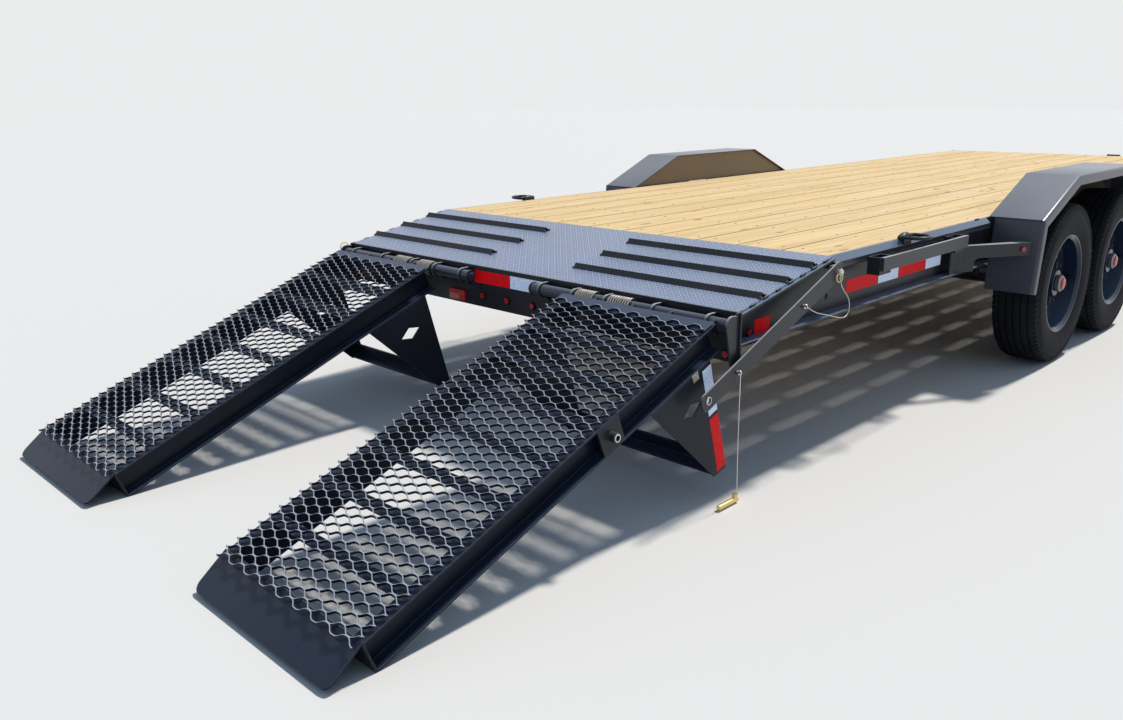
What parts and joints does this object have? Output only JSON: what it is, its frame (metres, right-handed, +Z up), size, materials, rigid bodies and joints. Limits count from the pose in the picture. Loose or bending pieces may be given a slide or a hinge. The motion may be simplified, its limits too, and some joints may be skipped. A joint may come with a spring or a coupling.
{
  "type": "equipment trailer",
  "caption": "Low flat trailer with a board deck, sloping tread-plate tail, drive-over fenders, twin axles and fold-up mesh ramps.",
  "frame": {"origin": "on the ground, midway along the overall length, on the centre line", "axes": "+X forward to the coupler, +Y to the left, +Z up"},
  "size_m": [9.5806, 2.59, 0.9742],
  "materials": {
    "black_paint": "semi-gloss",
    "tread_plate": "gloss",
    "board_wood": "sawn",
    "tyre_rubber": "matt",
    "wheel_paint": "gloss",
    "red_lens": "gloss",
    "zinc_plate": "bright",
    "spring_steel": "satin"
  },
  "bodies": {
    "frame": {"side_beam_left": "black_paint", "side_beam_right": "black_paint", "cross_channels": "black_paint", "deck_boards": "board_wood", "edge_strips": "black_paint", "tail_plate": "tread_plate", "cleats": "black_paint", "rear_channel": "black_paint", "tail_lamps": "red_lens", "hinge_lugs_left": "black_paint", "hinge_lugs_right": "black_paint", "hinge_ears": "black_paint", "torsion_springs": "spring_steel", "lock_pivots": "zinc_plate", "stake_pockets": "black_paint", "rub_rails": "black_paint", "lashing_rings": "black_paint", "fender_left": "black_paint", "fender_right": "black_paint", "fender_arms": "black_paint", "tongue": "black_paint", "front_header": "black_paint", "coupler": "black_paint", "jack": "black_paint", "jack_leg": "zinc_plate", "axle_rear": "black_paint", "axle_front": "black_paint", "leaf_springs": "spring_steel", "spring_hangers": "black_paint"},
    "ramp_left": {"ramp_frame_left": "black_paint", "hinge_pipe_left": "black_paint", "ramp_tip_left": "black_paint", "ramp_legs_left": "black_paint", "ramp_mesh_left": "black_paint", "lock_socket_left": "black_paint"},
    "bar_left": {"lock_bar_left": "black_paint"},
    "ramp_right": {"ramp_frame_right": "black_paint", "hinge_pipe_right": "black_paint", "ramp_tip_right": "black_paint", "ramp_legs_right": "black_paint", "ramp_mesh_right": "black_paint", "lock_socket_right": "black_paint"},
    "bar_right": {"lock_bar_right": "black_paint", "ground_pin": "zinc_plate", "loop_rope": "zinc_plate", "pin_rope": "zinc_plate"},
    "wheel_rear_left": {"tyre_rear_left": "tyre_rubber", "wheel_rear_left": "wheel_paint"},
    "wheel_rear_right": {"tyre_rear_right": "tyre_rubber", "wheel_rear_right": "wheel_paint"},
    "wheel_front_left": {"tyre_front_left": "tyre_rubber", "wheel_front_left": "wheel_paint"},
    "wheel_front_right": {"tyre_front_right": "tyre_rubber", "wheel_front_right": "wheel_paint"}
  },
  "joints": [
    {"name": "ramp_left_hinge", "type": "hinge", "parent": "frame", "child": "ramp_left", "pos_m": [-3.31369, 0.7, 0.585], "axis": [0, 1, 0], "range_deg": [0, 109]},
    {"name": "bar_left_pivot", "type": "hinge", "parent": "frame", "child": "bar_left", "pos_m": [-2.72169, 1.094, 0.678], "axis": [0, 1, 0], "range_deg": [0, 59.05]},
    {"name": "ramp_right_hinge", "type": "hinge", "parent": "frame", "child": "ramp_right", "pos_m": [-3.31369, -0.7, 0.585], "axis": [0, 1, 0], "range_deg": [0, 109]},
    {"name": "bar_right_pivot", "type": "hinge", "parent": "frame", "child": "bar_right", "pos_m": [-2.72169, -1.094, 0.678], "axis": [0, 1, 0], "range_deg": [0, 59.05]},
    {"name": "wheel_rear_left_spin", "type": "hinge", "parent": "frame", "child": "wheel_rear_left", "pos_m": [-0.84969, 1.186, 0.3835], "axis": [0, 1, 0], "continuous": true},
    {"name": "wheel_rear_right_spin", "type": "hinge", "parent": "frame", "child": "wheel_rear_right", "pos_m": [-0.84969, -1.186, 0.3835], "axis": [0, 1, 0], "continuous": true},
    {"name": "wheel_front_left_spin", "type": "hinge", "parent": "frame", "child": "wheel_front_left", "pos_m": [-0.01169, 1.186, 0.3835], "axis": [0, 1, 0], "continuous": true},
    {"name": "wheel_front_right_spin", "type": "hinge", "parent": "frame", "child": "wheel_front_right", "pos_m": [-0.01169, -1.186, 0.3835], "axis": [0, 1, 0], "continuous": true}
  ]
}
